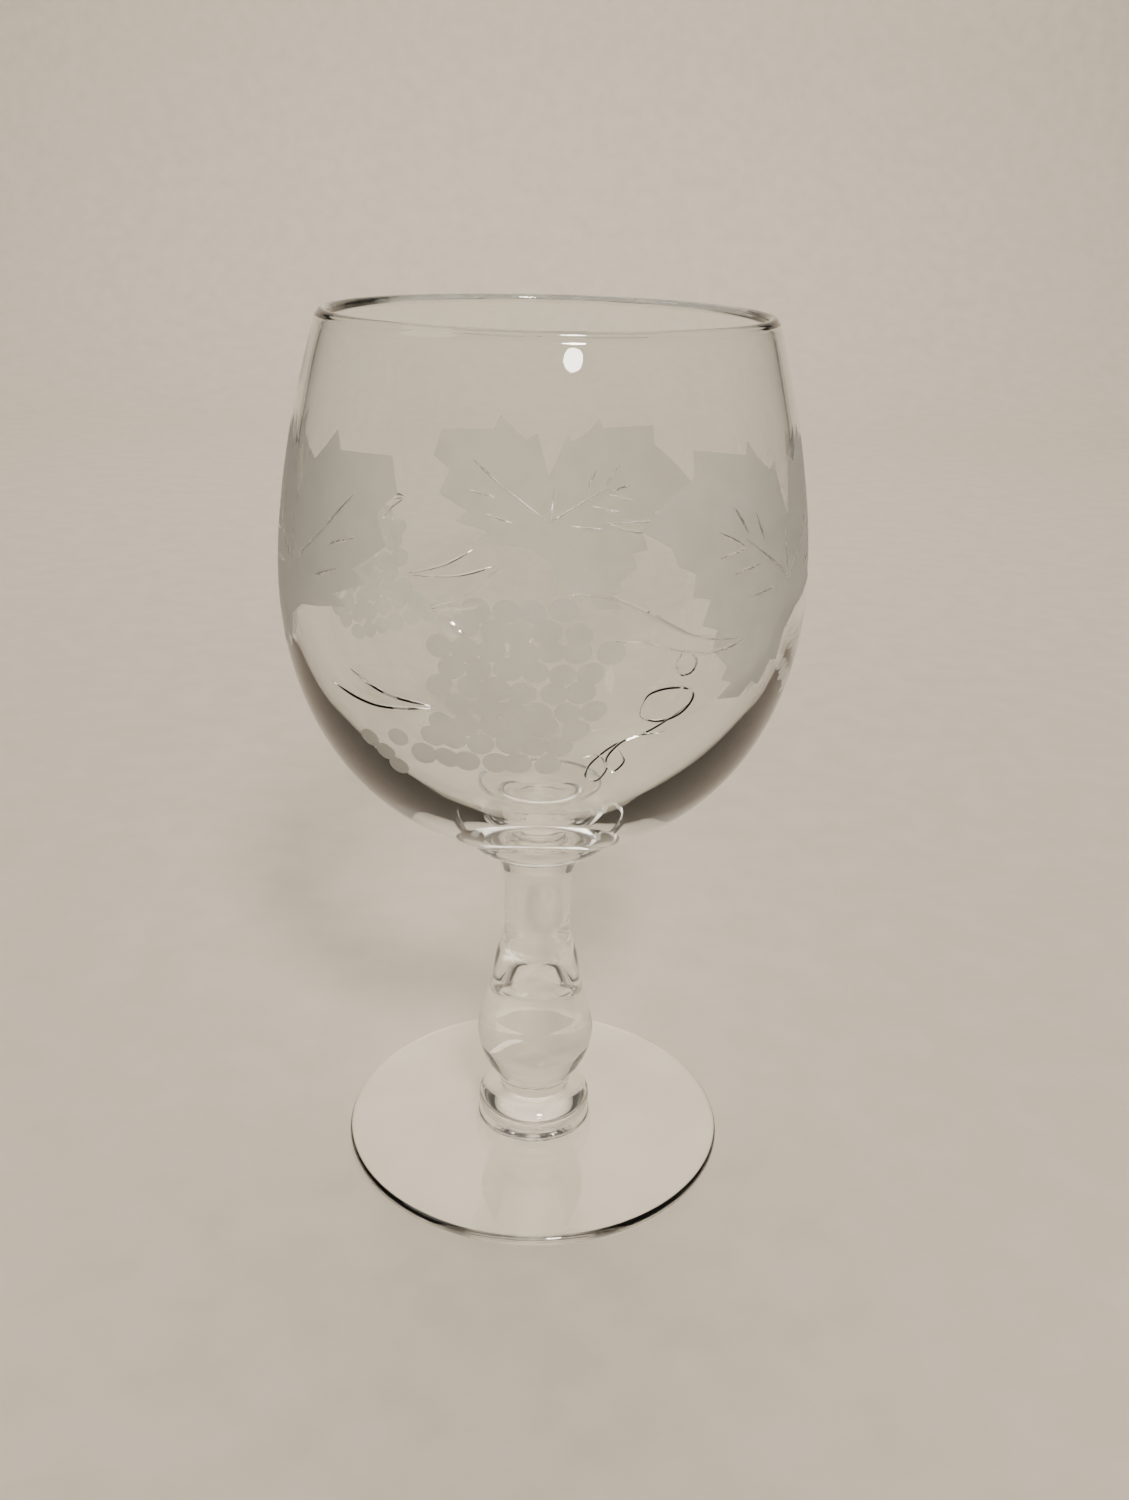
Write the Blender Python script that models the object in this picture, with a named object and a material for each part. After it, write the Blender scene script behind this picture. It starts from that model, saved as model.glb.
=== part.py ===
"""A stemmed wine goblet in clear glass: five turned glass pieces on one vertical axis.

The foot's underside stands on Z = 0 and the axis of the glass is the Z axis. Lengths are in metres.
Each piece is an outline at +X, turned about Z. Where the glassmaker fused two pieces hot, the solids
keep a gap of FUSED_GAP, so that each stays its own closed body.
"""

import math

import bpy

MM = 0.001

HEIGHT = 145.0 * MM
FUSED_GAP = 0.3 * MM

# Foot: a thin disc that rises to a low boss under the collar, hollowed slightly underneath.
FOOT_RADIUS = 33.8 * MM
FOOT_EDGE_RADIUS = 1.0 * MM
FOOT_BOSS_HEIGHT = 4.0 * MM
REST_RING_INNER_RADIUS = 27.0 * MM
FOOT_HOLLOW_HEIGHT = 0.9 * MM

# Collar: the flattened ball of glass between foot and stem.
COLLAR_BASE_RADIUS = 9.2 * MM
COLLAR_TOP = 9.5 * MM
WAIST_RADIUS = 6.4 * MM

# Stem: a baluster, with its bulb low down and a straight neck above.
NECK_RADIUS = 5.75 * MM
STEM_TOP = 50.9 * MM

# Bowl seat: a round-edged disc on a flared neck, dished on top to carry the bowl.
SEAT_RADIUS = 11.9 * MM
SEAT_BULGE = 0.4 * MM

# Bowl: a round cavity in an outer shape that is deeper, so the wall thickens towards the base.
WIDEST_HEIGHT = 105.0 * MM
BOWL_RADIUS = 41.3 * MM
BOWL_DEPTH = 45.0 * MM
BOWL_FULLNESS = 1.75
WALL = 1.6 * MM
CAVITY_DEPTH = 40.8 * MM
RIM_RADIUS = 33.9 * MM
RIM_BEAD_RADIUS = 0.8 * MM
RIM_TAPER = 1.72

BOWL_SEGMENTS = 72
FOOT_SEGMENTS = 72
STEM_SEGMENTS = 48

GLASS_COLOUR = (0.90, 0.93, 0.89, 1.0)
GLASS_ROUGHNESS = 0.03
GLASS_IOR = 1.52


def arc(centre, radius, start_degrees, end_degrees, steps):
    """Points of a circular arc, both ends included."""
    points = []
    for step in range(steps + 1):
        angle = math.radians(start_degrees + (end_degrees - start_degrees) * step / steps)
        points.append((centre[0] + radius * math.cos(angle), centre[1] + radius * math.sin(angle)))
    return points


def smooth_curve(stations, steps):
    """Points of a Catmull-Rom curve through the stations, with steps spans between each two of them."""
    knots = [mirrored(stations[0], stations[1]), *stations, mirrored(stations[-1], stations[-2])]
    points = []
    for before, start, end, after in zip(knots, knots[1:], knots[2:], knots[3:]):
        for step in range(steps):
            points.append(tuple(blend(*values, step / steps) for values in zip(before, start, end, after)))
    points.append(stations[-1])
    return points


def mirrored(end, neighbour):
    return tuple(2 * a - b for a, b in zip(end, neighbour))


def blend(before, start, end, after, t):
    """One coordinate of a Catmull-Rom span at t, from 0 at start to 1 at end."""
    slope = (end - before) * t
    bend = (2 * before - 5 * start + 4 * end - after) * t**2
    twist = (3 * start - before - 3 * end + after) * t**3
    return start + (slope + bend + twist) / 2


def lower_bowl_point(angle, side_radius, depth, fullness):
    """A point below the bowl's widest level: angle is 0 at the side and a quarter turn on the axis."""
    fall = math.sin(angle) ** 2
    reach = side_radius + (depth - side_radius) * (fullness * fall - (fullness - 1) * fall**2)
    return (reach * math.cos(angle), WIDEST_HEIGHT - reach * math.sin(angle))


def outer_bowl_base(angle):
    return lower_bowl_point(angle, BOWL_RADIUS, BOWL_DEPTH, BOWL_FULLNESS)


def cavity_base(angle):
    return lower_bowl_point(angle, BOWL_RADIUS - WALL, CAVITY_DEPTH, 1.0)


def upper_bowl_radius(height):
    """Outer radius of the bowl between its widest level and the rim."""
    rise = (height - WIDEST_HEIGHT) / (HEIGHT - WIDEST_HEIGHT)
    return BOWL_RADIUS - (BOWL_RADIUS - RIM_RADIUS) * rise**RIM_TAPER


def base_angle_at(radius):
    """The angle at which the outer bowl base has this radius, found by halving the interval."""
    low, high = 0.0, math.pi / 2
    for _ in range(40):
        middle = (low + high) / 2
        if outer_bowl_base(middle)[0] > radius:
            low = middle
        else:
            high = middle
    return low


def spaced(start, end, steps):
    return [start + (end - start) * step / steps for step in range(steps + 1)]


def glass(name):
    material = bpy.data.materials.new(name)
    material.use_nodes = True
    shader = material.node_tree.nodes["Principled BSDF"]
    shader.inputs["Base Color"].default_value = GLASS_COLOUR
    shader.inputs["Roughness"].default_value = GLASS_ROUGHNESS
    shader.inputs["Metallic"].default_value = 0.0
    shader.inputs["IOR"].default_value = GLASS_IOR
    shader.inputs["Transmission Weight"].default_value = 1.0
    return material


def turned(name, outline, segments, parent):
    """One closed solid: the outline runs down its outer side and is turned once about the Z axis."""
    mesh = bpy.data.meshes.new(name)
    vertices = [(radius, 0.0, height) for radius, height in outline]
    edges = [(index, index + 1) for index in range(len(outline) - 1)]
    mesh.from_pydata(vertices, edges, [])
    mesh.materials.append(glass(f"{name}_glass"))
    piece = bpy.data.objects.new(name, mesh)
    bpy.context.scene.collection.objects.link(piece)
    piece.parent = parent
    turn = piece.modifiers.new("turn", "SCREW")
    turn.axis = "Z"
    turn.angle = math.tau
    turn.steps = segments
    turn.render_steps = segments
    turn.use_merge_vertices = True
    turn.merge_threshold = 0.01 * MM
    turn.use_smooth_shade = True
    return piece


def make_foot(parent):
    edge = arc((FOOT_RADIUS - FOOT_EDGE_RADIUS, FOOT_EDGE_RADIUS), FOOT_EDGE_RADIUS, 80, -90, 6)
    top = smooth_curve(
        [
            (COLLAR_BASE_RADIUS, FOOT_BOSS_HEIGHT),
            (10.0 * MM, 3.6 * MM),
            (11.0 * MM, 3.05 * MM),
            (17.6 * MM, 2.6 * MM),
            edge[0],
        ],
        3,
    )
    hollow = smooth_curve(
        [
            (REST_RING_INNER_RADIUS, 0.0),
            (REST_RING_INNER_RADIUS / 2, 0.7 * FOOT_HOLLOW_HEIGHT),
            (0.0, FOOT_HOLLOW_HEIGHT),
        ],
        3,
    )
    outline = [(0.0, FOOT_BOSS_HEIGHT)] + top + edge[1:] + hollow
    return turned("foot", outline, FOOT_SEGMENTS, parent)


def make_collar(parent):
    bottom = FOOT_BOSS_HEIGHT + FUSED_GAP
    side = smooth_curve(
        [
            (WAIST_RADIUS, COLLAR_TOP),
            (8.6 * MM, 8.8 * MM),
            (9.8 * MM, 7.6 * MM),
            (10.1 * MM, 6.4 * MM),
            (9.85 * MM, 5.2 * MM),
            (COLLAR_BASE_RADIUS, bottom),
        ],
        3,
    )
    outline = [(0.0, COLLAR_TOP)] + side + [(0.0, bottom)]
    return turned("collar", outline, STEM_SEGMENTS, parent)


def make_stem(parent):
    bottom = COLLAR_TOP + FUSED_GAP
    side = smooth_curve(
        [
            (NECK_RADIUS, STEM_TOP),
            (NECK_RADIUS, 45.5 * MM),
            (5.95 * MM, 40.5 * MM),
            (7.2 * MM, 35.8 * MM),
            (7.9 * MM, 31.0 * MM),
            (9.3 * MM, 26.0 * MM),
            (10.4 * MM, 20.7 * MM),
            (9.1 * MM, 15.6 * MM),
            (7.0 * MM, 12.2 * MM),
            (WAIST_RADIUS, bottom),
        ],
        3,
    )
    outline = [(0.0, STEM_TOP)] + side + [(0.0, bottom)]
    return turned("stem", outline, STEM_SEGMENTS, parent)


def make_bowl_seat(parent):
    rim_angle = base_angle_at(SEAT_RADIUS)
    dish = [outer_bowl_base(angle) for angle in spaced(math.pi / 2, rim_angle, 5)]
    dish = [(radius, height - FUSED_GAP) for radius, height in dish]
    side = smooth_curve(
        [
            dish[-1],
            (SEAT_RADIUS + SEAT_BULGE, 60.4 * MM),
            (SEAT_RADIUS + 0.5 * SEAT_BULGE, 59.5 * MM),
            (SEAT_RADIUS - SEAT_BULGE, 58.9 * MM),
            (8.4 * MM, 57.3 * MM),
            (6.85 * MM, 55.1 * MM),
            (6.0 * MM, 52.9 * MM),
            (NECK_RADIUS, STEM_TOP + FUSED_GAP),
        ],
        2,
    )
    outline = [(0.0, dish[0][1])] + dish[1:-1] + side + [(0.0, STEM_TOP + FUSED_GAP)]
    return turned("bowl_seat", outline, STEM_SEGMENTS, parent)


def make_bowl(parent):
    bead_height = HEIGHT - RIM_BEAD_RADIUS
    rim = arc((RIM_RADIUS - RIM_BEAD_RADIUS, bead_height), RIM_BEAD_RADIUS, 180, 0, 6)
    upper = [(upper_bowl_radius(height), height) for height in spaced(bead_height, WIDEST_HEIGHT, 9)]
    inside = [cavity_base(angle) for angle in spaced(math.pi / 2, 0.0, 14)]
    inside += [(radius - WALL, height) for radius, height in reversed(upper[1:-1])]
    outside = upper[1:-1] + [outer_bowl_base(angle) for angle in spaced(0.0, math.pi / 2, 15)]
    outline = [(0.0, inside[0][1])] + inside[1:] + rim + outside[:-1] + [(0.0, outside[-1][1])]
    return turned("bowl", outline, BOWL_SEGMENTS, parent)


def main():
    for leftover in list(bpy.data.objects):
        bpy.data.objects.remove(leftover)
    goblet = bpy.data.objects.new("goblet", None)
    bpy.context.scene.collection.objects.link(goblet)
    make_foot(goblet)
    make_collar(goblet)
    make_stem(goblet)
    make_bowl_seat(goblet)
    make_bowl(goblet)


main()
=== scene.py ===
"""A stemmed wine goblet in clear glass, with a frosted wreath of vine leaves and grapes round its bowl.

The glass stands on a pale floor with its axis on Z. Lengths are in metres unless a name ends in _MM,
and the wreath is drawn in degrees round the bowl and millimetres above the floor.
"""

import math
import random

import bmesh
import bpy
from mathutils import Matrix, Vector
from mathutils.geometry import delaunay_2d_cdt


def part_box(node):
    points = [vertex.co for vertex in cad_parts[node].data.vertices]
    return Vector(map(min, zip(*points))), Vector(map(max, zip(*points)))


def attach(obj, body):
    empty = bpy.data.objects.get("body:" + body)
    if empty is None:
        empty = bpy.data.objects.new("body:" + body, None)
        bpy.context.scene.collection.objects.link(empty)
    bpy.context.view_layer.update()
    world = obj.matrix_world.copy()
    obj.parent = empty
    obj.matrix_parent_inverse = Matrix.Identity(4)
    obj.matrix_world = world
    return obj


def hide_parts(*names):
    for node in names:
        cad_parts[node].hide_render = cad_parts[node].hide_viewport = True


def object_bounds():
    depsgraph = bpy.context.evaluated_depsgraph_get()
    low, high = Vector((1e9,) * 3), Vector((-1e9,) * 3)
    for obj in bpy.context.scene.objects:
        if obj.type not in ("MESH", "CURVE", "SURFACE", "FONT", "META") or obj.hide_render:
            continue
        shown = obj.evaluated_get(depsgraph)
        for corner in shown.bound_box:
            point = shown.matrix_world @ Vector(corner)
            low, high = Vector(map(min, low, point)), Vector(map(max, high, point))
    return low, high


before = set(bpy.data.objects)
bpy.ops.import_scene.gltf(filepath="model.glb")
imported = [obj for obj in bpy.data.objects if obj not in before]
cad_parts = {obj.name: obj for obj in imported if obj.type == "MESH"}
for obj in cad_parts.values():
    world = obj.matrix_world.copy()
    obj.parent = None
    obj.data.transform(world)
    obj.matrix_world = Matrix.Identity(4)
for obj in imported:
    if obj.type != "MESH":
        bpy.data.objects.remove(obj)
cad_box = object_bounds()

MM = 0.001

# Each piece is turned in this many steps. Points closer than WELD_DISTANCE become one.
SEGMENTS = 180
WELD_DISTANCE = 0.0004 * MM
ON_AXIS = 0.0001 * MM

# The material slots of a piece.
SURFACE = 0
JOINT = 1
FROSTED = 2

# The pieces' sizes and joints, from the CAD boxes.
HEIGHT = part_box("bowl")[1].z
BOWL_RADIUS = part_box("bowl")[1].x
FOOT_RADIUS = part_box("foot")[1].x
FOOT_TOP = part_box("foot")[1].z
WAIST = (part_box("collar")[1].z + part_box("stem")[0].z) / 2
NECK_TOP = (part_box("stem")[1].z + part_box("bowl_seat")[0].z) / 2

# Foot.
FOOT_EDGE_RADIUS = 1.0 * MM
REST_RING_INNER_RADIUS = 27.0 * MM
FOOT_HOLLOW_HEIGHT = 0.9 * MM

# Collar, stem and seat.
COLLAR_BASE_RADIUS = 9.2 * MM
WAIST_RADIUS = 6.4 * MM
NECK_RADIUS = 5.75 * MM
SEAT_RADIUS = 11.9 * MM
SEAT_BULGE = 0.4 * MM

# Bowl: a round cavity in an outer shape that is deeper, so the wall thickens towards the base.
WIDEST_HEIGHT = 105.0 * MM
BOWL_DEPTH = WIDEST_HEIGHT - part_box("bowl")[0].z
BOWL_FULLNESS = 1.75
WALL = 1.6 * MM
CAVITY_DEPTH = 40.8 * MM
RIM_RADIUS = 33.9 * MM
RIM_BEAD_RADIUS = 0.8 * MM
RIM_TAPER = 1.72

# The band of the bowl that holds the wreath, made in parts side by side. A place on it is an angle
# from the front of the glass and a height, and drawing unrolls it at the radius AROUND_MM.
AROUND_MM = 41.3
PARTS = 3
PART_DEGREES = 360 / PARTS
BAND_BOTTOM_MM = 81.0
BAND_TOP_MM = 134.0
BAND_ROWS = 36
PART_MARGIN_MM = 1.0

# The triangulation fills the whole drawing, and takes points closer than its tolerance as one.
FILL_ALL = 0
DRAWING_TOLERANCE_MM = 0.00001

# What a face of the band is, kept with the mesh so that its shading can be set. All other faces have 0.
POLISHED = 1
GROUND = 2
CUT = 3

# Cuts are V-shaped. A face belongs to one where its middle has this share of the depth or more.
CUT_DEPTH_MM = 0.2
CUT_FACE_SHARE = 0.02
LEAST_HALF_WIDTH_MM = 0.05

# The wreath: three bunches of grapes with a leaf between each two.
BUNCH_ANGLES = [0.0, 120.0, 240.0]
# Each leaf's middle: its angle and how many millimetres lower it sits than the first.
LEAVES = [(60.0, 0.0), (180.0, 7.0), (300.0, 0.0)]

# Grapes, with the degrees from each to the next. Each bunch wobbles in its own way, by its seed.
GRAPE_WIDTH_MM = 3.95
GRAPE_HEIGHT_MM = 3.3
GRAPE_SPACING = 5.3
GRAPE_CORNERS = 16
FIRST_SEED = 7

# Rows of the bunch: height, the first grape's angle and the number of grapes.
BUNCH_ROWS = [
    (110.6, -12.0, 4),
    (107.9, -14.5, 5),
    (105.1, -19.5, 7),
    (102.3, -17.0, 6),
    (99.5, -19.0, 6),
    (96.8, -16.0, 6),
    (94.1, -19.8, 6),
    (91.3, -22.3, 6),
    (88.2, -25.3, 6),
]
# Grapes that hang free beside the bunch.
STRAY_GRAPES = [(-38.7, 88.5), (-35.0, 86.8), (-32.4, 84.8), (-30.4, 90.0)]

# The leaf's outline: from the notch above its middle down its left side, then up its right side.
LEAF_LEFT = [
    (-0.9, 119.6), (-3.6, 123.7), (-5.4, 127.6), (-7.2, 126.4), (-11.5, 128.4), (-14.4, 130.8),
    (-15.4, 129.0), (-29.6, 130.4), (-29.8, 126.9), (-34.4, 125.0), (-41.9, 120.7), (-35.4, 118.2),
    (-33.9, 115.7), (-30.2, 114.6), (-30.8, 111.4), (-26.6, 110.9), (-28.6, 107.4), (-24.4, 106.3),
    (-25.9, 103.7), (-21.4, 100.6), (-22.6, 98.9), (-19.6, 98.0), (-23.0, 96.0), (-16.2, 95.2),
    (-13.0, 97.2), (-10.2, 96.2), (-7.0, 99.4), (-4.2, 99.0), (-2.0, 103.4),
]
LEAF_RIGHT = [
    (3.7, 105.8), (9.6, 106.5), (19.0, 107.9), (15.4, 109.2), (24.2, 111.7), (20.7, 113.3),
    (28.9, 117.2), (25.9, 121.3), (30.6, 124.2), (28.6, 128.8), (14.2, 128.4), (12.4, 131.0),
    (8.3, 128.2), (5.1, 126.4), (2.2, 127.6),
]

# Cuts in the leaf: start, end and full width in millimetres. Each is widest in its middle.
LEAF_VEINS = [
    ((-20.0, 122.6), (-16.2, 118.8), 0.55),
    ((-13.5, 121.2), (-10.8, 117.1), 0.50),
    ((-24.4, 119.6), (-17.3, 117.2), 0.45),
    ((-24.0, 116.1), (-17.3, 116.8), 0.50),
    ((-20.2, 113.7), (-12.7, 114.3), 0.55),
    ((-15.7, 110.1), (-7.2, 110.3), 0.50),
    ((-8.8, 114.3), (-1.5, 111.0), 0.40),
    ((19.5, 123.0), (11.9, 118.0), 0.50),
    ((20.5, 117.4), (13.0, 115.7), 0.50),
    ((16.0, 112.8), (8.2, 110.6), 0.50),
    ((-16.8, 118.0), (-2.0, 111.4), 0.35),
    ((12.0, 118.0), (0.2, 111.6), 0.35),
    ((-2.6, 117.8), (-1.2, 110.6), 0.40),
]

# Vines and tendrils: points on a smooth curve, and its full width in millimetres.
VINES = [
    (
        [
            (3.0, 112.6), (8.5, 112.8), (14.2, 111.9), (20.1, 109.9), (25.3, 107.7), (31.0, 105.8),
            (43.0, 104.3),
        ],
        0.6,
    ),
    ([(13.6, 106.5), (20.2, 105.8), (26.6, 104.2), (31.2, 103.5), (37.5, 103.5), (43.0, 104.3)], 0.55),
    ([(-40.5, 99.0), (-34.2, 97.2), (-29.5, 96.5), (-20.6, 96.1)], 0.55),
    ([(-46.5, 95.8), (-38.9, 94.7), (-32.3, 94.6), (-20.6, 95.9)], 0.6),
    ([(-21.5, 110.2), (-14.6, 112.2), (-8.0, 116.0)], 0.55),
    ([(-21.0, 110.0), (-15.5, 110.4), (-11.0, 111.2)], 0.50),
    ([(-20.6, 109.8), (-16.8, 108.6), (-14.4, 107.0)], 0.50),
]
TENDRILS = [
    (
        [
            (19.3, 96.6), (20.9, 98.6), (24.9, 99.2), (29.6, 98.6), (30.7, 97.0), (28.3, 95.0),
            (23.9, 94.3), (19.8, 95.2), (19.3, 96.6),
        ],
        0.45,
    ),
    (
        [
            (30.3, 96.4), (25.4, 94.2), (20.6, 92.6), (14.8, 91.2), (10.4, 88.4), (9.6, 86.2),
            (12.0, 85.2), (13.8, 87.2), (12.0, 89.6), (8.4, 89.4),
        ],
        0.40,
    ),
    (
        [
            (24.4, 92.3), (19.6, 92.4), (15.9, 91.4), (13.4, 88.8), (15.2, 86.6), (17.4, 88.2),
            (16.0, 90.2),
        ],
        0.40,
    ),
    ([(27.6, 104.4), (26.1, 102.6), (27.0, 101.0), (29.6, 101.0), (30.6, 102.6), (29.0, 104.0)], 0.40),
]

# Glass and floor. Each surface varies between two tints.
GLASS_IOR = 1.52
CLEAR_TINTS = ((0.955, 0.97, 0.945), (0.97, 0.98, 0.96))
FOOT_TINTS = ((0.965, 0.975, 0.955), (0.98, 0.985, 0.97))
# The frosted tints are grey painted shade: the ground glass is white, and is darkened here as though it
# scattered only a dim room.
FROSTED_PAINTED_SHADE_TINTS = ((0.60, 0.61, 0.59), (0.68, 0.69, 0.67))
FLOOR_TINTS = ((0.57, 0.505, 0.43), (0.61, 0.545, 0.47))

# How many glass surfaces light may cross, and how often it may reflect inside the glass. The second is
# kept low for the look: it darkens the thick base of the bowl, where light is otherwise passed on.
MOST_CROSSINGS = 40
MOST_REFLECTIONS = 14

# The sheet under and behind the glass. Its flat part lies FLOOR_GAP under the foot, so that the two
# don't share a surface.
FLOOR_GAP = 0.15 * MM
FLOOR_FRONT = -0.4
FLOOR_HALF_WIDTH = 0.8
BACKDROP_DISTANCE = 1.1
BACKDROP_BEND = 0.3
BACKDROP_HEIGHT = 1.8

# The colours of the lamps and of the light all round.
KEY_COLOUR = (1.0, 0.92, 0.80)
SOFT_COLOUR = (1.0, 0.94, 0.86)
WALL_COLOUR = (1.0, 0.95, 0.86)
WORLD_COLOUR = (1.0, 0.93, 0.84, 1.0)

# The camera: its place in heights of the glass, its angles in degrees and its lens in millimetres.
CAMERA_BACK = 1.4743
CAMERA_UP = 1.1114
CAMERA_PITCH = 21.989
CAMERA_YAW = 1.082
CAMERA_ROLL = 1.471
CAMERA_FOCAL = 22.104
CAMERA_SENSOR = 24.0
NEAREST_SEEN = 5.0 * MM


# ---------------------------------------------------------------- outlines


def spaced(start, end, steps):
    return [start + (end - start) * step / steps for step in range(steps + 1)]


def arc(centre, radius, start_degrees, end_degrees, steps):
    """Points of a circular arc, both ends included."""
    angles = [math.radians(angle) for angle in spaced(start_degrees, end_degrees, steps)]
    return [(centre[0] + radius * math.cos(a), centre[1] + radius * math.sin(a)) for a in angles]


def smooth_curve(stations, steps):
    """Points of a Catmull-Rom curve through the stations, with steps spans between each two of them."""
    knots = [mirrored(stations[0], stations[1]), *stations, mirrored(stations[-1], stations[-2])]
    points = []
    for before, start, end, after in zip(knots, knots[1:], knots[2:], knots[3:]):
        for step in range(steps):
            points.append(tuple(blend(*values, step / steps) for values in zip(before, start, end, after)))
    points.append(stations[-1])
    return points


def mirrored(end, neighbour):
    return tuple(2 * a - b for a, b in zip(end, neighbour))


def blend(before, start, end, after, t):
    """One coordinate of a Catmull-Rom span at t, from 0 at start to 1 at end."""
    slope = (end - before) * t
    bend = (2 * before - 5 * start + 4 * end - after) * t**2
    twist = (3 * start - before - 3 * end + after) * t**3
    return start + (slope + bend + twist) / 2


def lower_bowl_point(angle, side_radius, depth, fullness):
    """A point below the bowl's widest level: angle is 0 at the side and a quarter turn on the axis."""
    fall = math.sin(angle) ** 2
    reach = side_radius + (depth - side_radius) * (fullness * fall - (fullness - 1) * fall**2)
    return (reach * math.cos(angle), WIDEST_HEIGHT - reach * math.sin(angle))


def outer_bowl_base(angle):
    return lower_bowl_point(angle, BOWL_RADIUS, BOWL_DEPTH, BOWL_FULLNESS)


def cavity_base(angle):
    return lower_bowl_point(angle, BOWL_RADIUS - WALL, CAVITY_DEPTH, 1.0)


def upper_bowl_radius(height):
    """Outer radius of the bowl between its widest level and the rim."""
    rise = (height - WIDEST_HEIGHT) / (HEIGHT - WIDEST_HEIGHT)
    return BOWL_RADIUS - (BOWL_RADIUS - RIM_RADIUS) * rise**RIM_TAPER


def base_angle_where(coordinate, value):
    """The outer bowl base's angle where its radius (coordinate 0) or height (1) has fallen to value."""
    low, high = 0.0, math.pi / 2
    for _ in range(40):
        middle = (low + high) / 2
        if outer_bowl_base(middle)[coordinate] > value:
            low = middle
        else:
            high = middle
    return low


def outer_radius(height):
    if height >= WIDEST_HEIGHT:
        return upper_bowl_radius(height)
    return outer_bowl_base(base_angle_where(1, height))[0]


# ---------------------------------------------------------------- meshes


def ring_vertices(mesh, radius, height):
    """One ring of the turned mesh, or the single vertex on its axis."""
    if radius < ON_AXIS:
        return [mesh.verts.new((0.0, 0.0, height))]
    angles = spaced(0.0, math.tau, SEGMENTS)[:-1]
    return [mesh.verts.new((radius * math.sin(a), -radius * math.cos(a), height)) for a in angles]


def join_rings(mesh, first, second, slot):
    """Fills the faces between two rings. Where one of them is a single vertex, they are triangles."""
    for here in range(SEGMENTS):
        there = (here + 1) % SEGMENTS
        corners = [first[here % len(first)], first[there % len(first)]]
        corners += [second[there % len(second)], second[here % len(second)]]
        face = mesh.faces.new(list(dict.fromkeys(corners)))
        face.material_index = slot
        face.smooth = True


def add_turned(mesh, outline, slot):
    """Turns an open outline about Z and gives its faces one material slot."""
    rings = [ring_vertices(mesh, radius, height) for radius, height in outline]
    for first, second in zip(rings, rings[1:]):
        join_rings(mesh, first, second, slot)


def finished_piece(name, mesh, materials):
    """Makes the object of a welded mesh whose joints to its neighbours stay sharp against its sides."""
    bmesh.ops.remove_doubles(mesh, verts=mesh.verts, dist=WELD_DISTANCE)
    bmesh.ops.recalc_face_normals(mesh, faces=mesh.faces)
    for edge in mesh.edges:
        slots = {face.material_index for face in edge.link_faces}
        edge.smooth = not (JOINT in slots and len(slots) > 1)
    data = bpy.data.meshes.new(name)
    mesh.to_mesh(data)
    mesh.free()
    for material in materials:
        data.materials.append(material)
    piece = bpy.data.objects.new(name, data)
    bpy.context.scene.collection.objects.link(piece)
    return piece


def turned_piece(name, sections, materials):
    """A piece turned from (outline, slot) sections that meet end to end."""
    mesh = bmesh.new()
    for outline, slot in sections:
        add_turned(mesh, outline, slot)
    return finished_piece(name, mesh, materials)


def make_foot(materials):
    edge = arc((FOOT_RADIUS - FOOT_EDGE_RADIUS, FOOT_EDGE_RADIUS), FOOT_EDGE_RADIUS, 80, -90, steps=20)
    top = smooth_curve(
        [
            (COLLAR_BASE_RADIUS, FOOT_TOP),
            (10.0 * MM, 3.6 * MM),
            (11.0 * MM, 3.05 * MM),
            (17.6 * MM, 2.6 * MM),
            edge[0],
        ],
        steps=10,
    )
    hollow = smooth_curve(
        [
            (REST_RING_INNER_RADIUS, 0.0),
            (REST_RING_INNER_RADIUS / 2, 0.7 * FOOT_HOLLOW_HEIGHT),
            (0.0, FOOT_HOLLOW_HEIGHT),
        ],
        steps=10,
    )
    joint = [(0.0, FOOT_TOP), (COLLAR_BASE_RADIUS, FOOT_TOP)]
    return turned_piece("foot_glass", [(joint, JOINT), (top + edge[1:] + hollow, SURFACE)], materials)


def make_collar(materials):
    side = smooth_curve(
        [
            (WAIST_RADIUS, WAIST),
            (8.6 * MM, 8.8 * MM),
            (9.8 * MM, 7.6 * MM),
            (10.1 * MM, 6.4 * MM),
            (9.85 * MM, 5.2 * MM),
            (COLLAR_BASE_RADIUS, FOOT_TOP),
        ],
        steps=8,
    )
    top = [(0.0, WAIST), side[0]]
    bottom = [side[-1], (0.0, FOOT_TOP)]
    return turned_piece("collar_glass", [(top, JOINT), (side, SURFACE), (bottom, JOINT)], materials)


def make_stem(materials):
    side = smooth_curve(
        [
            (NECK_RADIUS, NECK_TOP),
            (NECK_RADIUS, 45.5 * MM),
            (5.95 * MM, 40.5 * MM),
            (7.2 * MM, 35.8 * MM),
            (7.9 * MM, 31.0 * MM),
            (9.3 * MM, 26.0 * MM),
            (10.4 * MM, 20.7 * MM),
            (9.1 * MM, 15.6 * MM),
            (7.0 * MM, 12.2 * MM),
            (WAIST_RADIUS, WAIST),
        ],
        steps=10,
    )
    top = [(0.0, NECK_TOP), side[0]]
    bottom = [side[-1], (0.0, WAIST)]
    return turned_piece("stem_glass", [(top, JOINT), (side, SURFACE), (bottom, JOINT)], materials)


def seat_dish():
    """The joint between bowl and seat, from the axis out to the seat's edge."""
    rim_angle = base_angle_where(0, SEAT_RADIUS)
    dish = [outer_bowl_base(angle) for angle in spaced(math.pi / 2, rim_angle, steps=10)]
    return [(0.0, dish[0][1])] + dish[1:]


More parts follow.
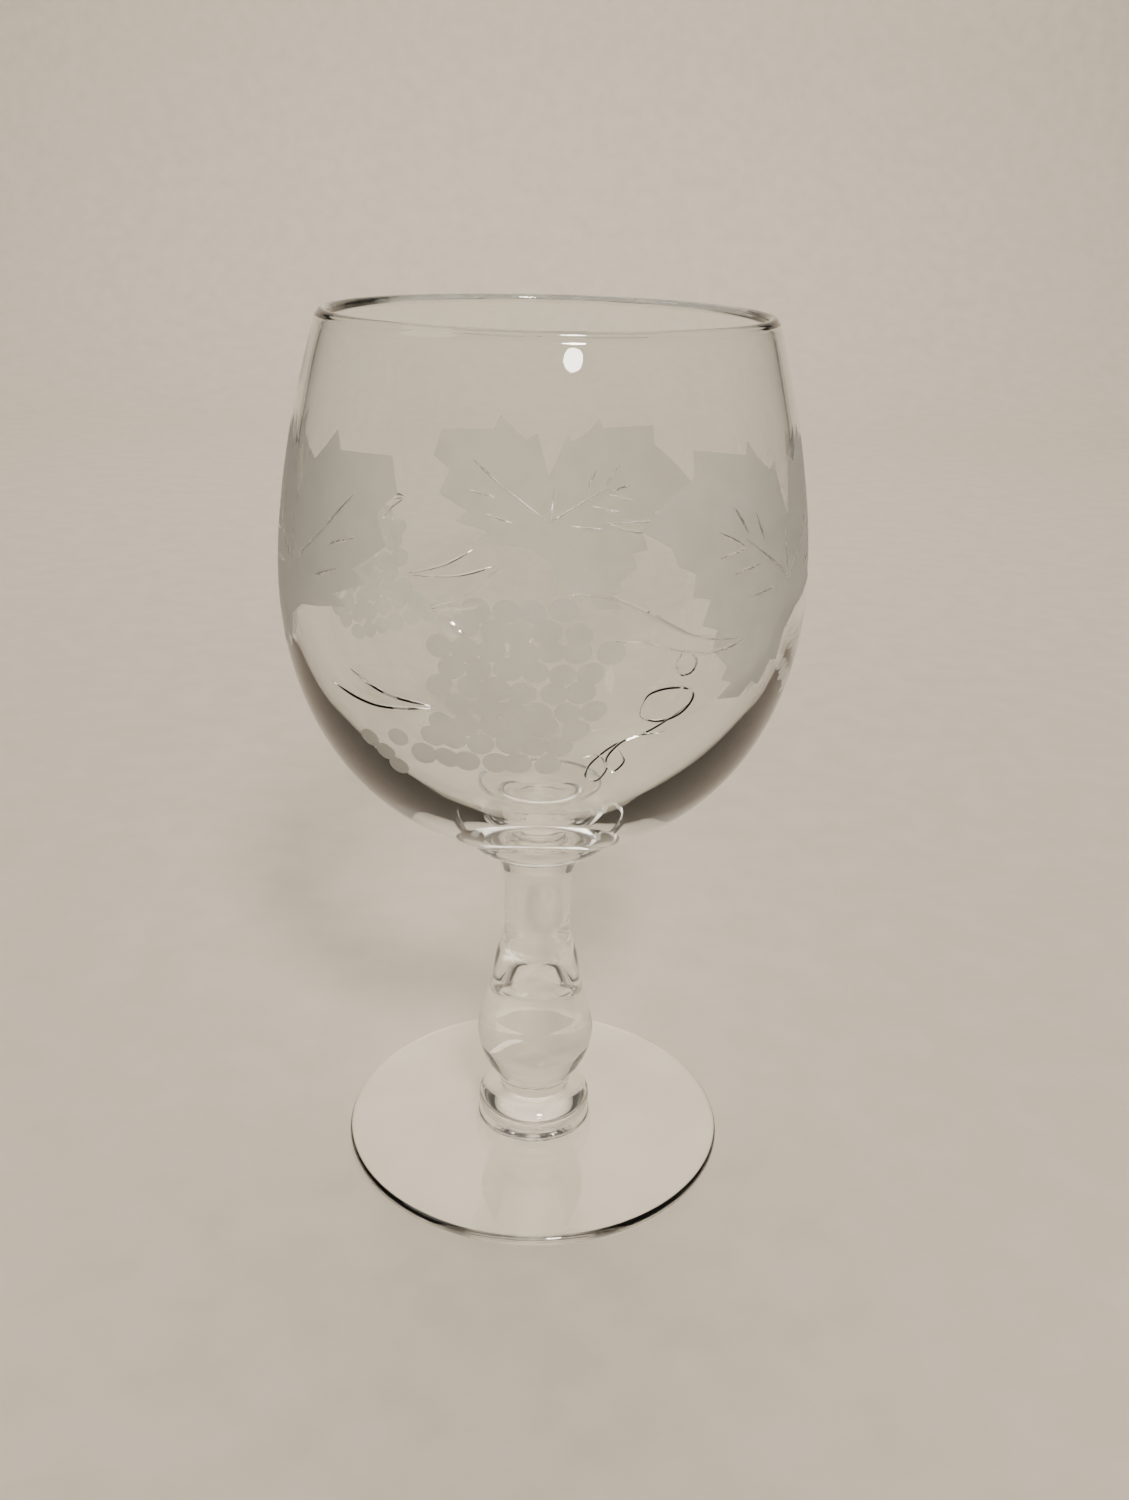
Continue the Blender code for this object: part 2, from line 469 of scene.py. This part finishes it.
def make_bowl_seat(materials):
    dish = seat_dish()
    side = smooth_curve(
        [
            dish[-1],
            (SEAT_RADIUS + SEAT_BULGE, 60.4 * MM),
            (SEAT_RADIUS + 0.5 * SEAT_BULGE, 59.5 * MM),
            (SEAT_RADIUS - SEAT_BULGE, 58.9 * MM),
            (8.4 * MM, 57.3 * MM),
            (6.85 * MM, 55.1 * MM),
            (6.0 * MM, 52.9 * MM),
            (NECK_RADIUS, NECK_TOP),
        ],
        steps=8,
    )
    bottom = [side[-1], (0.0, NECK_TOP)]
    return turned_piece("bowl_seat_glass", [(dish, JOINT), (side, SURFACE), (bottom, JOINT)], materials)


# ---------------------------------------------------------------- the wreath, drawn flat


def flat(point):
    """A point in degrees and millimetres, as distances on the unrolled bowl in millimetres."""
    return (math.radians(point[0]) * AROUND_MM, point[1])


def oval(centre, width_mm, height_mm, tilt_degrees, corners):
    """An oval on the bowl's surface, drawn wider where the bowl is narrower, so that it stays an oval."""
    widen = AROUND_MM * MM / outer_radius(centre[1] * MM)
    tilt = math.radians(tilt_degrees)
    middle = flat(centre)
    points = []
    for angle in spaced(0.0, math.tau, corners)[:-1]:
        across = width_mm / 2 * math.cos(angle)
        along = height_mm / 2 * math.sin(angle)
        turned_x = across * math.cos(tilt) - along * math.sin(tilt)
        turned_y = across * math.sin(tilt) + along * math.cos(tilt)
        points.append((middle[0] + turned_x * widen, middle[1] + turned_y))
    return points


def grape_outlines(seed):
    """A bunch in rows, each grape a little off its place, and the few that hang free beside it."""
    wobble = random.Random(seed)
    grapes = []
    for height, first, count in BUNCH_ROWS:
        for index in range(count):
            angle = first + index * GRAPE_SPACING + wobble.uniform(-0.6, 0.6)
            middle = (angle, height + wobble.uniform(-0.35, 0.35))
            size = wobble.uniform(0.94, 1.06)
            tilt = wobble.uniform(-20, 20)
            grapes.append(oval(middle, GRAPE_WIDTH_MM * size, GRAPE_HEIGHT_MM * size, tilt, GRAPE_CORNERS))
    for middle in STRAY_GRAPES:
        grapes.append(oval(middle, GRAPE_WIDTH_MM * 0.9, GRAPE_HEIGHT_MM * 0.85, 10, GRAPE_CORNERS))
    return grapes


def leaf_outline(drop):
    """The leaf in millimetres, sitting lower by drop."""
    return [flat((angle, height - drop)) for angle, height in LEAF_LEFT + LEAF_RIGHT]


def frosted_outlines():
    """Every frosted shape of the whole wreath."""
    outlines = []
    for number, angle in enumerate(BUNCH_ANGLES):
        outlines += [moved(grape, angle) for grape in grape_outlines(FIRST_SEED + number)]
    for angle, drop in LEAVES:
        outlines.append(moved(leaf_outline(drop), angle))
    return outlines


def vein_share(along):
    """A vein's width at a place along it, from 0 to 1: it is widest in its middle."""
    return math.sin(math.pi * along)


def vine_share(along):
    """A vine's width at a place along it, from 0 to 1: it is even, and tapers at its ends."""
    return min(1.0, 6 * along, 6 - 6 * along)


class Cut:
    """A V-shaped cut along a line, whose width follows width_share from one end to the other."""

    def __init__(self, line, width, width_share):
        self.line = [Vector(point) for point in line]
        last = len(line) - 1
        shares = [width_share(index / last) for index in range(len(line))]
        self.half_widths = [max(LEAST_HALF_WIDTH_MM, width / 2 * share) for share in shares]
        self.low = Vector((min(p.x for p in self.line) - width, min(p.y for p in self.line) - width))
        self.high = Vector((max(p.x for p in self.line) + width, max(p.y for p in self.line) + width))

    def outline(self):
        """The edges of the cut, up its left side and back down its right."""
        left = []
        right = []
        for index, point in enumerate(self.line):
            before = self.line[max(index - 1, 0)]
            after = self.line[min(index + 1, len(self.line) - 1)]
            across = (after - before).orthogonal().normalized() * self.half_widths[index]
            left.append(tuple(point + across))
            right.append(tuple(point - across))
        return left + right[::-1]

    def share(self, point):
        """1 on the cut's deepest line, falling to 0 at its edges."""
        if not (self.low.x < point.x < self.high.x and self.low.y < point.y < self.high.y):
            return 0.0
        best = 0.0
        for index in range(len(self.line) - 1):
            start = self.line[index]
            span = self.line[index + 1] - start
            along = min(1.0, max(0.0, (point - start).dot(span) / max(span.length_squared, 1e-12)))
            half = self.half_widths[index] * (1 - along) + self.half_widths[index + 1] * along
            distance = (point - start - span * along).length
            best = max(best, 1.0 - distance / half)
        return best


def cut_lines():
    """Every cut of the whole wreath, as (line, width, width_share)."""
    cuts = []
    for angle, drop in LEAVES:
        for start, end, width in LEAF_VEINS:
            first = Vector(flat((start[0], start[1] - drop)))
            last = Vector(flat((end[0], end[1] - drop)))
            line = [tuple(first.lerp(last, along)) for along in spaced(0.0, 1.0, steps=6)]
            cuts.append((moved(line, angle), width, vein_share))
    for angle in BUNCH_ANGLES:
        curls = TENDRILS if angle == BUNCH_ANGLES[0] else []
        for points, width in VINES + curls:
            line = smooth_curve([flat(point) for point in points], steps=5)
            cuts.append((moved(line, angle), width, vine_share))
    return cuts


def moved(points, degrees):
    """Points of the unrolled bowl, turned about the axis of the glass."""
    step = math.radians(degrees) * AROUND_MM
    return [(x + step, y) for x, y in points]


class Outline:
    """A closed outline that can say whether a point is inside it."""

    def __init__(self, points):
        self.points = points
        self.low = (min(p[0] for p in points), min(p[1] for p in points))
        self.high = (max(p[0] for p in points), max(p[1] for p in points))

    def holds(self, point):
        """Counts the sides of the outline that lie to the right of the point: inside, they are odd."""
        if not (self.low[0] < point.x < self.high[0] and self.low[1] < point.y < self.high[1]):
            return False
        inside = False
        for (x0, y0), (x1, y1) in zip(self.points, self.points[1:] + self.points[:1]):
            if (y0 > point.y) != (y1 > point.y) and point.x < x0 + (x1 - x0) * (point.y - y0) / (y1 - y0):
                inside = not inside
        return inside


def near_part(points, part, half):
    """The places where a drawn shape touches a part of the band, measured from the middle of that part."""
    places = []
    for whole_turns in (-1, 0, 1):
        shifted = moved(points, 360 * whole_turns - PART_DEGREES * part)
        if max(x for x, _ in shifted) > -half and min(x for x, _ in shifted) < half:
            places.append(shifted)
    return places


def part_grid(half):
    """The even grid of one part of the band: its points, and the edges down its two sides."""
    columns = spaced(-half, half, SEGMENTS // PARTS)
    rows = spaced(BAND_BOTTOM_MM, BAND_TOP_MM, BAND_ROWS)
    points = [(x, y) for y in rows for x in columns]
    edges = []
    width = len(columns)
    for row in range(BAND_ROWS):
        for column in (0, width - 1):
            edges.append((row * width + column, (row + 1) * width + column))
    return points, edges


def draw(points, edges, line, closed):
    """Adds a line to the drawing."""
    first = len(points)
    points.extend(line)
    last = len(line) if closed else len(line) - 1
    edges.extend((first + index, first + (index + 1) % len(line)) for index in range(last))


def draw_wreath(points, edges, part, reach):
    """Draws every shape that touches the part, and returns its frosted outlines and its cuts."""
    areas = []
    for outline in frosted_outlines():
        for shifted in near_part(outline, part, reach):
            draw(points, edges, shifted, closed=True)
            areas.append(Outline(shifted))
    cuts = []
    for line, width, width_share in cut_lines():
        for shifted in near_part(line, part, reach):
            cut = Cut(shifted, width, width_share)
            draw(points, edges, cut.outline(), closed=True)
            draw(points, edges, shifted, closed=False)
            cuts.append(cut)
    return areas, cuts


def kind_at(point, areas, cuts):
    """What the face round this point is. A cut goes through the frosting."""
    if any(cut.share(point) > CUT_FACE_SHARE for cut in cuts):
        return CUT
    if any(area.holds(point) for area in areas):
        return GROUND
    return POLISHED


def flat_part(part):
    """A part of the band, flat: its points, its faces, each face's kind and each point's depth."""
    half = math.radians(PART_DEGREES / 2) * AROUND_MM
    points, edges = part_grid(half)
    areas, cuts = draw_wreath(points, edges, part, half + PART_MARGIN_MM)
    drawing = [Vector(point) for point in points]
    made = delaunay_2d_cdt(drawing, edges, [], FILL_ALL, DRAWING_TOLERANCE_MM, False)
    flat_points = made[0]
    faces = []
    kinds = []
    for face in made[2]:
        middle = sum((flat_points[index] for index in face), Vector((0.0, 0.0))) / len(face)
        if abs(middle.x) <= half:
            faces.append(face)
            kinds.append(kind_at(middle, areas, cuts))
    depths = [max([cut.share(point) for cut in cuts], default=0.0) * CUT_DEPTH_MM for point in flat_points]
    return flat_points, faces, kinds, depths


# ---------------------------------------------------------------- the bowl


def bowl_position(point, depth_mm, turn_degrees):
    """The place on the bowl of a point of the flat band, sunk by a depth."""
    angle = point.x / AROUND_MM + math.radians(turn_degrees)
    radius = outer_radius(point.y * MM) - depth_mm * MM
    return (radius * math.sin(angle), -radius * math.cos(angle), point.y * MM)


def add_band(mesh, kind_layer):
    """Wraps each part of the drawn band round the bowl."""
    for part in range(PARTS):
        flat_points, faces, kinds, depths = flat_part(part)
        used = sorted({index for face in faces for index in face})
        turn = part * PART_DEGREES
        places = {index: bowl_position(flat_points[index], depths[index], turn) for index in used}
        vertices = {index: mesh.verts.new(place) for index, place in places.items()}
        for face, kind in zip(faces, kinds):
            added = mesh.faces.new([vertices[index] for index in face])
            added.smooth = True
            added.material_index = FROSTED if kind == GROUND else SURFACE
            added[kind_layer] = kind


def bowl_normal(position):
    """The smooth outward direction of the bowl's outer surface."""
    step = 0.05 * MM
    slope = (outer_radius(position.z + step) - outer_radius(position.z - step)) / (2 * step)
    around = Vector((position.x, position.y, 0.0)).normalized()
    return Vector((around.x, around.y, -slope)).normalized()


def smooth_band_normals(piece):
    """The band shades as the smooth bowl it lies on, except in its cuts."""
    data = piece.data
    kinds = [item.value for item in data.attributes["kind"].data]
    normals = [Vector(corner.vector) for corner in data.corner_normals]
    for polygon in data.polygons:
        kind = kinds[polygon.index]
        for loop in polygon.loop_indices:
            if kind == CUT:
                normals[loop] = polygon.normal.copy()
            elif kind in (POLISHED, GROUND):
                normals[loop] = bowl_normal(data.vertices[data.loops[loop].vertex_index].co)
    data.normals_split_custom_set(normals)


def make_bowl(materials):
    mesh = bmesh.new()
    kind_layer = mesh.faces.layers.int.new("kind")
    add_turned(mesh, seat_dish(), JOINT)
    add_turned(mesh, below_band(), SURFACE)
    add_band(mesh, kind_layer)
    add_turned(mesh, above_band_and_inside(), SURFACE)
    piece = finished_piece("bowl_glass", mesh, materials)
    smooth_band_normals(piece)
    return piece


def below_band():
    """The bowl's outer surface from the seat up to the band."""
    bottom = BAND_BOTTOM_MM * MM
    seat_angle = base_angle_where(0, SEAT_RADIUS)
    band_angle = base_angle_where(1, bottom)
    outline = [outer_bowl_base(angle) for angle in spaced(seat_angle, band_angle, steps=24)]
    outline[-1] = (outer_radius(bottom), bottom)
    return outline


def above_band_and_inside():
    """From the top of the band over the rim, and down the inside to the middle of the cavity."""
    top = BAND_TOP_MM * MM
    bead = HEIGHT - RIM_BEAD_RADIUS
    upper = [(upper_bowl_radius(height), height) for height in spaced(top, bead, steps=10)]
    rim = arc((RIM_RADIUS - RIM_BEAD_RADIUS, bead), RIM_BEAD_RADIUS, 0, 180, steps=16)
    heights = spaced(bead, WIDEST_HEIGHT, steps=36)
    inside = [(upper_bowl_radius(height) - WALL, height) for height in heights]
    cavity = [cavity_base(angle) for angle in spaced(0.0, math.pi / 2, steps=60)]
    cavity[-1] = (0.0, cavity[-1][1])
    return upper + rim[1:] + inside[1:] + cavity[1:]


# ---------------------------------------------------------------- materials


def new_material(name):
    material = bpy.data.materials.new(name)
    material.use_nodes = True
    nodes, links = material.node_tree.nodes, material.node_tree.links
    return material, nodes, links, nodes["Principled BSDF"]


def noise_at(nodes, links, coordinates, scale, detail):
    noise = nodes.new("ShaderNodeTexNoise")
    noise.inputs["Scale"].default_value = scale
    noise.inputs["Detail"].default_value = detail
    links.new(coordinates.outputs["Object"], noise.inputs["Vector"])
    return noise


def ramped(nodes, links, source, low, high):
    """A value that runs from low to high as the source runs over its middle range."""
    spread = nodes.new("ShaderNodeMapRange")
    spread.inputs["From Min"].default_value = 0.3
    spread.inputs["From Max"].default_value = 0.7
    spread.inputs["To Min"].default_value = low
    spread.inputs["To Max"].default_value = high
    links.new(source.outputs["Fac"], spread.inputs["Value"])
    return spread


def tinted(nodes, links, source, tints):
    """A colour that runs from the first tint to the second as the source runs over its middle range."""
    first, second = tints
    ramp = nodes.new("ShaderNodeValToRGB")
    ramp.color_ramp.elements[0].position = 0.35
    ramp.color_ramp.elements[0].color = (*first, 1.0)
    ramp.color_ramp.elements[1].position = 0.65
    ramp.color_ramp.elements[1].color = (*second, 1.0)
    links.new(source.outputs["Fac"], ramp.inputs["Fac"])
    return ramp


def bumped(nodes, links, source, strength, distance):
    bump = nodes.new("ShaderNodeBump")
    bump.inputs["Strength"].default_value = strength
    bump.inputs["Distance"].default_value = distance
    links.new(source.outputs["Fac"], bump.inputs["Height"])
    return bump


def let_lamps_through(nodes, links, shader, share):
    """Lamps shine straight through the surface, unbent, and each crossing keeps this share of their light."""
    path = nodes.new("ShaderNodeLightPath")
    passed = nodes.new("ShaderNodeBsdfTransparent")
    passed.inputs["Color"].default_value = (share, share, share * 0.99, 1.0)
    mix = nodes.new("ShaderNodeMixShader")
    links.new(path.outputs["Is Shadow Ray"], mix.inputs["Fac"])
    links.new(shader.outputs["BSDF"], mix.inputs[1])
    links.new(passed.outputs["BSDF"], mix.inputs[2])
    links.new(mix.outputs["Shader"], nodes["Material Output"].inputs["Surface"])


def clear_glass(name, tints):
    """Clear glass: a faint grey-green tint, slow waves in its surface and a thin handling haze."""
    material, nodes, links, shader = new_material(name)
    shader.inputs["Transmission Weight"].default_value = 1.0
    shader.inputs["IOR"].default_value = GLASS_IOR
    coordinates = nodes.new("ShaderNodeTexCoord")
    waves = noise_at(nodes, links, coordinates, scale=55.0, detail=1.0)
    haze = noise_at(nodes, links, coordinates, scale=160.0, detail=4.0)
    colour = tinted(nodes, links, waves, tints)
    roughness = ramped(nodes, links, haze, low=0.0, high=0.025)
    bump = bumped(nodes, links, waves, strength=0.25, distance=0.4 * MM)
    links.new(colour.outputs["Color"], shader.inputs["Base Color"])
    links.new(roughness.outputs["Result"], shader.inputs["Roughness"])
    links.new(bump.outputs["Normal"], shader.inputs["Normal"])
    let_lamps_through(nodes, links, shader, share=0.74)
    return material


def frosted_glass():
    """Ground glass: a fine even grain that scatters what is behind it, with slightly lighter patches. Its
    grey colour is painted shade: white ground glass, darkened as though it scattered only a dim room.
    """
    material, nodes, links, shader = new_material("frosted_glass")
    shader.inputs["Transmission Weight"].default_value = 0.78
    shader.inputs["IOR"].default_value = GLASS_IOR
    coordinates = nodes.new("ShaderNodeTexCoord")
    patches = noise_at(nodes, links, coordinates, scale=220.0, detail=3.0)
    grain = noise_at(nodes, links, coordinates, scale=5200.0, detail=2.0)
    # Painted shade: the grey colour darkens the white ground glass.
    colour = tinted(nodes, links, patches, FROSTED_PAINTED_SHADE_TINTS)
    roughness = ramped(nodes, links, patches, low=0.42, high=0.55)
    bump = bumped(nodes, links, grain, strength=0.35, distance=0.03 * MM)
    links.new(colour.outputs["Color"], shader.inputs["Base Color"])
    links.new(roughness.outputs["Result"], shader.inputs["Roughness"])
    links.new(bump.outputs["Normal"], shader.inputs["Normal"])
    let_lamps_through(nodes, links, shader, share=0.5)
    return material


def open_joint():
    """Where two pieces were fused hot there is no surface left, so light passes straight on."""
    material = bpy.data.materials.new("fused_joint")
    material.use_nodes = True
    nodes, links = material.node_tree.nodes, material.node_tree.links
    nodes.remove(nodes["Principled BSDF"])
    clear = nodes.new("ShaderNodeBsdfTransparent")
    links.new(clear.outputs["BSDF"], nodes["Material Output"].inputs["Surface"])
    return material


def floor_material():
    """A matt pale beige, very slightly uneven."""
    material, nodes, links, shader = new_material("floor")
    coordinates = nodes.new("ShaderNodeTexCoord")
    fibres = noise_at(nodes, links, coordinates, scale=90.0, detail=5.0)
    colour = tinted(nodes, links, fibres, FLOOR_TINTS)
    links.new(colour.outputs["Color"], shader.inputs["Base Color"])
    shader.inputs["Roughness"].default_value = 0.85
    return material


# ---------------------------------------------------------------- stage, light and camera


def make_floor():
    """A pale sheet that lies flat under the glass and curves up behind it."""
    flat_end = BACKDROP_DISTANCE - BACKDROP_BEND
    profile = [(FLOOR_FRONT, 0.0), (flat_end, 0.0)]
    profile += arc((flat_end, BACKDROP_BEND), BACKDROP_BEND, -90, 0, steps=16)[1:]
    profile.append((BACKDROP_DISTANCE, BACKDROP_HEIGHT))
    sides = (-FLOOR_HALF_WIDTH, FLOOR_HALF_WIDTH)
    vertices = [(x, y, z - FLOOR_GAP) for y, z in profile for x in sides]
    faces = [(2 * i, 2 * i + 1, 2 * i + 3, 2 * i + 2) for i in range(len(profile) - 1)]
    data = bpy.data.meshes.new("floor")
    data.from_pydata(vertices, [], faces)
    data.shade_smooth()
    data.materials.append(floor_material())
    floor = bpy.data.objects.new("floor", data)
    bpy.context.scene.collection.objects.link(floor)


def area_light(name, target, direction, distance, size, power, colour):
    """A round lamp that lies in a direction from its target and faces it, and isn't seen through glass."""
    data = bpy.data.lights.new(name, "AREA")
    data.shape = "DISK"
    data.size = size
    data.energy = power
    data.color = colour
    light = bpy.data.objects.new(name, data)
    aim = Vector(direction).normalized()
    light.location = Vector(target) + aim * distance
    light.visible_transmission = False
    light.rotation_mode = "QUATERNION"
    light.rotation_quaternion = aim.to_track_quat("Z", "Y")
    bpy.context.scene.collection.objects.link(light)
    return light


def make_lights():
    """A key, a soft fill, a small lamp for the highlight near the rim and a wash on the backdrop."""
    glass = (0.0, 0.0, 0.09)
    bowl = (0.0, 0.0, 0.13)
    backdrop = (0.0, BACKDROP_DISTANCE, 0.6)
    key = area_light("key", glass, (0.17, -0.68, 0.70), 1.2, 0.2, 16.0, KEY_COLOUR)
    key.visible_transmission = True
    highlight = area_light("highlight", bowl, (0.19, -0.89, 0.46), 1.2, 0.17, 1.7, SOFT_COLOUR)
    highlight.data.shape = "ELLIPSE"
    highlight.data.size_y = 0.055
    area_light("fill", glass, (-0.8, -0.2, 0.9), 2.0, 0.9, 4.0, SOFT_COLOUR)
    wall = area_light("wall", backdrop, (0.0, -0.75, 0.65), 0.8, 0.9, 16.0, WALL_COLOUR)
    wall.visible_glossy = False


def make_world():
    """A dim even light. It isn't sampled as a lamp is, since lamps also shine straight through glass."""
    world = bpy.data.worlds.new("studio")
    world.use_nodes = True
    background = world.node_tree.nodes["Background"]
    background.inputs["Color"].default_value = WORLD_COLOUR
    background.inputs["Strength"].default_value = 0.1
    world.cycles.sampling_method = "NONE"
    bpy.context.scene.world = world


def make_camera():
    """A camera in front of the glass and a little above it, looking down."""
    data = bpy.data.cameras.new("camera")
    data.sensor_fit = "VERTICAL"
    data.sensor_height = CAMERA_SENSOR
    data.lens = CAMERA_FOCAL
    data.clip_start = NEAREST_SEEN
    camera = bpy.data.objects.new("camera", data)
    pitch, yaw, roll = (math.radians(a) for a in (CAMERA_PITCH, CAMERA_YAW, CAMERA_ROLL))
    ahead = Vector((math.sin(yaw) * math.cos(pitch), math.cos(yaw) * math.cos(pitch), -math.sin(pitch)))
    level = Vector((math.cos(yaw), -math.sin(yaw), 0.0))
    above = level.cross(ahead)
    right = level * math.cos(roll) + above * math.sin(roll)
    up = above * math.cos(roll) - level * math.sin(roll)
    place = Matrix((right, up, -ahead)).transposed().to_4x4()
    height = cad_box[1].z - cad_box[0].z
    place.translation = (0.0, -CAMERA_BACK * height, CAMERA_UP * height)
    camera.matrix_world = place
    bpy.context.scene.collection.objects.link(camera)
    bpy.context.scene.camera = camera


def allow_glass_depth():
    """Sets how far light is followed through the glass before it is dropped."""
    cycles = bpy.context.scene.cycles
    cycles.max_bounces = MOST_CROSSINGS
    cycles.transmission_bounces = MOST_CROSSINGS
    cycles.glossy_bounces = MOST_REFLECTIONS
    cycles.transparent_max_bounces = MOST_CROSSINGS


# ---------------------------------------------------------------- the whole scene


def main():
    joint = open_joint()
    thin = clear_glass("bowl_clear_glass", CLEAR_TINTS)
    thick = clear_glass("stem_clear_glass", CLEAR_TINTS)
    foot = clear_glass("foot_clear_glass", FOOT_TINTS)
    pieces = [
        (make_foot([foot, joint]), "foot", "foot_glass"),
        (make_collar([thick, joint]), "collar", "stem_glass"),
        (make_stem([thick, joint]), "stem", "stem_glass"),
        (make_bowl_seat([thick, joint]), "bowl_seat", "stem_glass"),
        (make_bowl([thin, joint, frosted_glass()]), "bowl", "bowl_glass"),
    ]
    for piece, node, slot in pieces:
        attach(piece, "root")
        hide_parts(node)
    make_floor()
    make_lights()
    make_world()
    make_camera()
    allow_glass_depth()


main()
